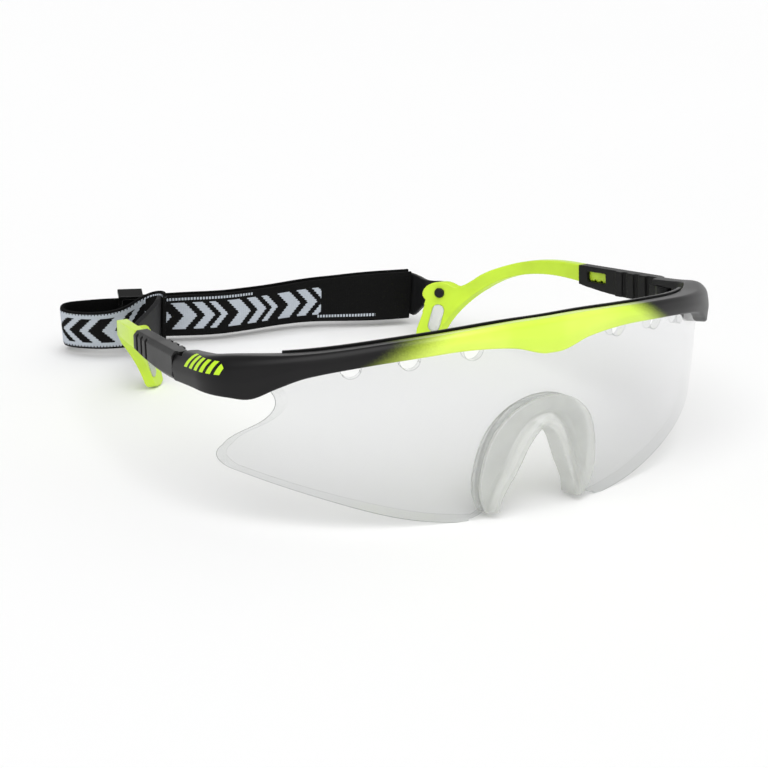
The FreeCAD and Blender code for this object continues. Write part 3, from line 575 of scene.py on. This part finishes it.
PAINT = fade_paint()
BLACK_PLASTIC = moulded(
    "black_plastic", (0.007, 0.007, 0.007), 0.38, extra={"Specular_IOR_Level": 0.2})
GLOSS_BLACK = moulded(
    "gloss_black", (0.006, 0.006, 0.006), 0.26, extra={"Specular_IOR_Level": 0.3})
TAB_RUBBER = moulded(
    "tab_rubber", (0.012, 0.012, 0.013), 0.48, grain=0.02 * MM,
    extra={"Specular_IOR_Level": 0.2})
NEON_PLASTIC = moulded(
    "neon_plastic", NEON, 0.34,
    extra={"Subsurface_Weight": 0.25, "Subsurface_Scale": 1.5 * MM,
           "Subsurface_Radius": (1.0, 1.0, 0.2)},
)
# the lens face carries a painted shaded outline along its edge
LENS_FACE = clear_film("lens_face", (0.925, 0.927, 0.93), 0.02, (0.36, 0.37, 0.37))
# the rim's slightly darker tint is painted shade along the cut edges; its higher roughness is the
# frosted finish
LENS_RIM = clear_film("lens_rim", (0.895, 0.90, 0.90), 0.08)
SILICONE = silicone()
WOVEN_FRONT = woven("woven_front", outer=False)
WOVEN_BACK = woven("woven_back", outer=True)
STEEL = steel()


def paint(obj, material):
    obj.data.materials.clear()
    obj.data.materials.append(material)
    return obj


# ---------------------------------------------------------------- brow frame
def frame_ring(run):
    x, y, angle = frame_station(run)
    top, low = profile(FRAME_TOP, abs(run)), profile(FRAME_LOW, abs(run))
    crease = low + CREASE * (top - low)
    shoulder = profile(SHOULDER, abs(run))
    section = rounded([
        (-FRAME_BACK, low + 0.3, 0.5),
        (FRAME_FRONT - 1.0, low, 0.6),
        (FRAME_FRONT - 0.5, low + 0.3, 0.3),
        (FRAME_FRONT, crease, 0.7),
        (FRAME_FRONT - 0.5, top - shoulder, shoulder),
        (FRAME_FRONT - 0.5 - shoulder, top, shoulder),
        (-FRAME_BACK, top - 0.2, 0.5),
    ])
    out = (math.sin(angle), -math.cos(angle))
    return row([(x + out[0] * n, y + out[1] * n, z) for n, z in section])


def hinge_cutters(side):
    """Pocket between the hinge lugs, and the open space beyond them."""
    wall = ENDPIECE_X - ENDPIECE_WALL
    front, inner, rear, lug_r = 41.0, 60.0, 70.0, 3.6
    pocket = [(inner, front), (wall, front), (wall, rear), (inner, rear)]
    beyond = [(inner, front), (HINGE_X - lug_r, front), (HINGE_X - lug_r, HINGE_Y)]
    last = math.acos((wall - HINGE_X) / lug_r)
    for k in range(1, 13):
        a = math.pi + (last - math.pi) * k / 12
        beyond.append((HINGE_X + lug_r * math.cos(a), HINGE_Y + lug_r * math.sin(a)))
    beyond += [(wall, rear), (inner, rear)]
    end = [(inner, ENDPIECE_END_Y), (90, ENDPIECE_END_Y), (90, rear), (inner, rear)]
    return [
        prism("pocket", pocket, LUG_BOTTOM[1], LUG_TOP[0], side),
        prism("beyond", beyond, -15, 5, side),
        prism("end", end, -15, 10, side),
    ]


def front_frame():
    count = 2 * round(FRAME_RUN) + 1
    rings = [frame_ring(r) for r in np.linspace(-FRAME_RUN, FRAME_RUN, count)]
    obj = mesh_object("brow_frame", *skin(rings), smooth_deg=50)
    carve(obj, hinge_cutters(1) + hinge_cutters(-1), 40)
    paint(obj, PAINT)
    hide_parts("front_frame")
    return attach(obj, "front")


# ---------------------------------------------------------------- lens and nose pad
def clear_lens():
    """CAD lens, with its cut edges given a frosted finish of their own, tinted a little darker as
    painted shade.
    """
    node = frame["nodes"]["lens"]
    node.data.materials.clear()
    node.data.materials.append(LENS_FACE)
    node.data.materials.append(LENS_RIM)
    turns = np.linspace(0, 1.05, 200)
    places = [plan_point(LENS_ARCS, t)[0] for t in turns]
    cos, sin = math.cos(SEAT_ANGLE), math.sin(SEAT_ANGLE)
    for face in node.data.polygons:
        x, normal = face.center[0] / MM, face.normal
        turn = math.copysign(np.interp(abs(x), places, turns), x)
        level = Vector((normal.x, normal.y * cos - normal.z * sin, 0))
        square = abs(level.dot(Vector((math.sin(turn), -math.cos(turn), 0))))
        face.material_index = 0 if square > 0.75 else 1


def soft_copy(node, name, voxel, rounds):
    """New piece from a CAD node, with its edges softened."""
    obj = copy_of(node, name)
    grid = obj.modifiers.new("grid", "REMESH")
    grid.mode, grid.voxel_size = "VOXEL", voxel * MM
    soft = obj.modifiers.new("soft", "SMOOTH")
    soft.factor, soft.iterations = 0.5, rounds
    settle(obj)
    obj.data.shade_smooth()
    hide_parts(node)
    return obj


def worn(points):
    """Worn millimetres of points in the row frame, the reverse of row()."""
    cos, sin = math.cos(SEAT_ANGLE), math.sin(SEAT_ANGLE)
    x, y, z = (points / MM + (0, ORIGIN_Y, FLOOR)).T
    return np.stack([x, y * cos - z * sin, y * sin + z * cos], -1)


# Inner edge of the pad from the front, (x, z), and the relief of its front face as
# (distance from that edge, rise): a bead round the opening, a groove, a thin flange
PAD_INNER = [
    (11.8, -43.5), (10.4, -38.0), (7.6, -33.0), (4.6, -26.6), (0.0, -22.2), (-4.6, -26.6),
    (-7.6, -33.0), (-10.4, -38.0), (-11.8, -43.5),
]
PAD_RELIEF = [
    (0.0, 0.0), (1.0, 0.5), (2.0, 0.45), (2.9, -0.35), (3.6, -0.45), (5.0, -0.2), (20.0, -0.2)]


def nose_pad():
    obj = soft_copy("nose_pad", "nose_saddle", 0.25, 5)
    count = len(obj.data.vertices)
    flat = np.empty(count * 3)
    obj.data.vertices.foreach_get("co", flat)
    points = worn(flat.reshape(-1, 3))
    edge = spline(PAD_INNER, 160)
    turn = points[:, 0] / LENS_ARCS[0][0]
    guide_y = LENS_FRONT_Y + LENS_ARCS[0][0] * (1 - np.cos(turn))
    guide_y += (LENS_REF_Z - points[:, 2]) * LENS_RAKE
    front = (points[:, 1] < guide_y - 0.2) | (points[:, 2] > 0)
    for i in np.flatnonzero(front):
        away = np.linalg.norm(edge - points[i, [0, 2]], axis=1).min()
        points[i, 1] -= np.interp(away, *zip(*PAD_RELIEF))
    obj.data.vertices.foreach_set("co", row(points).ravel())
    obj.data.update()
    paint(obj, SILICONE)
    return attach(obj, "front")


def soft_parts():
    """Moulded parts whose edges are rounder than in the CAD."""
    plan = {
        "temple_sleeve": (BLACK_PLASTIC, "black_plastic", "sleeve", 2),
        "temple_arm": (NEON_PLASTIC, "neon_plastic", "arm", 6),
        "strap_tab": (TAB_RUBBER, "black_rubber", "tab", 4),
    }
    for side in ("left", "right"):
        for key, (material, slot, body, rounds) in plan.items():
            obj = soft_copy(f"{side}_{key}", f"{side}_{body}_soft", 0.18, rounds)
            paint(obj, material)
            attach(obj, f"{side}_{body}")
    slider = soft_copy("strap_slider", "slider_soft", 0.13, 14)
    paint(slider, GLOSS_BLACK)
    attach(slider, "slider")


# ---------------------------------------------------------------- strap
def path_length(path):
    return np.linalg.norm(np.diff(path, axis=0), axis=1).sum()


def band_rings(path, start, stop, side0, side1, ahead):
    """Rings of a leaning band between two lengths along a plan path.

    The lean and the rise are read further along by ahead, as far as the path starts
    from the zero of those lists.
    """
    lengths = np.concatenate([[0], np.cumsum(np.linalg.norm(np.diff(path, axis=0), axis=1))])
    stations = np.linspace(start, stop, max(3, round((stop - start) / 0.8) + 1))
    across = np.linspace(0, STRAP_WIDE, 17)
    half, middle, step = (side1 - side0) / 2, (side0 + side1) / 2, 0.4
    section = []
    for face, order in ((1, across), (-1, across[::-1])):
        for v in order:
            thin = 0.65 if v in (0, STRAP_WIDE) else 1.0
            section.append((face * half * thin, v))

    def at(length):
        length = np.clip(length, 0, lengths[-1])
        return np.array([np.interp(length, lengths, path[:, k]) for k in (0, 1)])

    rings = []
    for station in stations:
        run = at(station + step) - at(station - step)
        run /= np.linalg.norm(run)
        out = np.array((-run[1], run[0]))
        lean = profile(STRAP_LEAN, station + ahead)
        rise = math.sqrt(STRAP_WIDE**2 - lean**2)
        foot = STRAP_LIFT + profile(STRAP_RISE, station + ahead)
        ring = []
        for n, v in section:
            share = v / STRAP_WIDE
            place = at(station) + out * (middle + n) + LEAN_TOWARD * lean * share
            ring.append((*place, foot + rise * share))
        rings.append(table(ring))
    return rings, stations, section


def strap_piece(name, path, start, stop, sides, joint, ahead):
    """One stretch of elastic, for the length listed with one joint, as a still band mesh."""
    rings, stations, section = band_rings(path, start, stop, *sides, ahead)
    verts, faces = skin(rings)
    mesh = bpy.data.meshes.new(name)
    mesh.from_pydata([tuple(v) for v in verts], [], faces)
    obj = bpy.data.objects.new(name, mesh)
    bpy.context.scene.collection.objects.link(obj)
    layer = mesh.uv_layers.new(name="UVMap")
    size = len(section)
    for loop in mesh.loops:
        i, k = divmod(loop.vertex_index, size)
        layer.data[loop.index].uv = (stations[i] + ahead, section[k][1])
    shade = mesh.attributes.new("plain", "FLOAT", "POINT")
    shade.data.foreach_set("value", [float(ahead > 0)] * len(mesh.vertices))
    mesh.materials.append(WOVEN_BACK)
    mesh.materials.append(WOVEN_FRONT)
    for face in mesh.polygons:
        ks = [v % size for v in face.vertices]
        outer = max(ks) < size / 2 or max(ks) - min(ks) > size / 2
        face.material_index = 0 if outer else 1
    work = bmesh.new()
    work.from_mesh(mesh)
    bmesh.ops.recalc_face_normals(work, faces=work.faces)
    work.to_mesh(mesh)
    work.free()
    mesh.shade_smooth()
    mesh.set_sharp_from_angle(angle=math.radians(60))
    ends = [Vector(rings[k].mean(axis=0)) for k in (0, -1)]
    parent, child, child_first = joint
    if child_first:
        ends.reverse()
    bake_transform(obj)
    return obj


# Joints that the elastic crosses, from the right tab round to the left one, as
# (parent, child, whether the child's end comes first)
RIGHT_JOINTS = [
    ("right_arm", "right_tab", True), ("right_sleeve", "right_arm", True),
    ("front", "right_sleeve", True),
]
LEFT_JOINTS = [
    ("front", "left_sleeve", False), ("left_sleeve", "left_arm", False),
    ("left_arm", "left_tab", False),
]
# Lengths of the stretches next to a tab and next to the slider, and the share of the
# long layer at which its two sides meet
TAB_STRETCH, SLIDER_STRETCH, MEETING_SHARE = 10.0, 30.0, 0.56


def strap_layer(name, node, path, stops, sides, joints, ahead):
    """One layer of elastic, in a stretch for each joint that it crosses."""
    made = [
        strap_piece(f"{name}_{i + 1}", path, stops[i], stops[i + 1], sides, joint, ahead)
        for i, joint in enumerate(joints)
    ]
    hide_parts(node)


def strap():
    half = STRAP_THICK / 2
    path = spline(STRAP_NEAR + STRAP_BEND + SLIDER_LINE + STRAP_FAR, 400)
    total = path_length(path)
    stops = [
        0.0, TAB_STRETCH, 2 * TAB_STRETCH, total * MEETING_SHARE,
        total - 2 * TAB_STRETCH, total - TAB_STRETCH, total,
    ]
    strap_layer("strap_long", "strap_long_layer", path, stops, (-half, half),
                RIGHT_JOINTS + LEFT_JOINTS, STRAP_START)

    first, last = np.array(SLIDER_LINE[0]), np.array(SLIDER_LINE[3])
    run = (last - first) / np.linalg.norm(last - first)
    start = (first + last) / 2 + run * RETURN_START
    nearest = np.argmin(np.linalg.norm(path - start, axis=1))
    ahead = STRAP_START + path_length(path[: nearest + 1])
    path = spline([tuple(start)] + SLIDER_LINE[3:] + STRAP_FAR, 300)
    total = path_length(path)
    near = half + LAYER_GAP
    stops = [0.0, SLIDER_STRETCH, total - 2 * TAB_STRETCH, total - TAB_STRETCH, total]
    strap_layer("strap_return", "strap_return_layer", path, stops, (near, near + STRAP_THICK),
                [("front", "slider", True)] + LEFT_JOINTS, ahead)


# ---------------------------------------------------------------- carried-over CAD nodes
def dress():
    """Gives the carried-over brow bar, hinge screw and tip insert nodes their materials."""
    finishes = {"brow_bar": BLACK_PLASTIC, "hinge_screw": STEEL, "tip_insert": SILICONE}
    for name, node in frame["nodes"].items():
        key = name if name in finishes else name.split("_", 1)[-1]
        if key in finishes:
            node.data.materials.clear()
            node.data.materials.append(finishes[key])


# ---------------------------------------------------------------- studio
# Focal length in millimetres, place in metres, and the directions of the camera's right,
# top and back as columns
FOCAL = 99.43
CAMERA_AT = (-0.3028, -0.4622, 0.2102)
CAMERA_AXES = (
    (0.8414, 0.1464, -0.5202), (-0.5380, 0.3165, -0.7812), (0.0503, 0.9372, 0.3451),
)


def camera():
    data = bpy.data.cameras.new("camera")
    data.lens, data.sensor_width = FOCAL, 36.0
    data.clip_start, data.clip_end = 0.01, 20
    made = bpy.data.objects.new("camera", data)
    bpy.context.scene.collection.objects.link(made)
    made.matrix_world = Matrix.Translation(CAMERA_AT) @ Matrix(CAMERA_AXES).to_4x4()
    bpy.context.scene.camera = made


def sun(name, toward, spread, strength):
    """Very soft light from one direction, even over the whole floor."""
    data = bpy.data.lights.new(name, "SUN")
    data.angle, data.energy = math.radians(spread), strength
    made = bpy.data.objects.new(name, data)
    bpy.context.scene.collection.objects.link(made)
    made.rotation_euler = Vector(toward).to_track_quat("Z", "Y").to_euler()


def studio():
    verts = [(-6, -6, 0), (6, -6, 0), (6, 6, 0), (-6, 6, 0)]
    floor = mesh_object("floor", verts, [(0, 1, 2, 3)])
    s = Shader("floor_white")
    mist = s.noise(3.0, 2.0)
    floor.data.materials.append(s.done(s.surface(
        Base_Color=s.mix(mist, (0.93, 0.93, 0.93), (0.95, 0.95, 0.95)), Roughness=0.9)))
    studio_world()
    sun("key", (-0.35, -0.45, 1.0), 60, 2.15)
    sun("fill", (0.5, -0.2, 0.9), 80, 0.5)
    bpy.context.scene.view_settings.view_transform = "Standard"


def studio_world():
    """Pale horizon under a dimmer ceiling, so that dark parts keep their depth."""
    world = bpy.data.worlds.new("studio")
    world.use_nodes = True
    tree = world.node_tree
    place = tree.nodes.new("ShaderNodeTexCoord")
    split = tree.nodes.new("ShaderNodeSeparateXYZ")
    rise = tree.nodes.new("ShaderNodeMapRange")
    rise.interpolation_type = "SMOOTHSTEP"
    for key, value in (("From Min", 0.02), ("From Max", 0.40), ("To Min", 1.05), ("To Max", 0.30)):
        rise.inputs[key].default_value = value
    tree.links.new(place.outputs["Generated"], split.inputs[0])
    tree.links.new(split.outputs[2], rise.inputs["Value"])
    tree.links.new(rise.outputs[0], tree.nodes["Background"].inputs["Strength"])
    tree.nodes["Background"].inputs["Color"].default_value = (1, 1, 1, 1)
    bpy.context.scene.world = world


front_frame()
clear_lens()
nose_pad()
soft_parts()
strap()
dress()
camera()
studio()
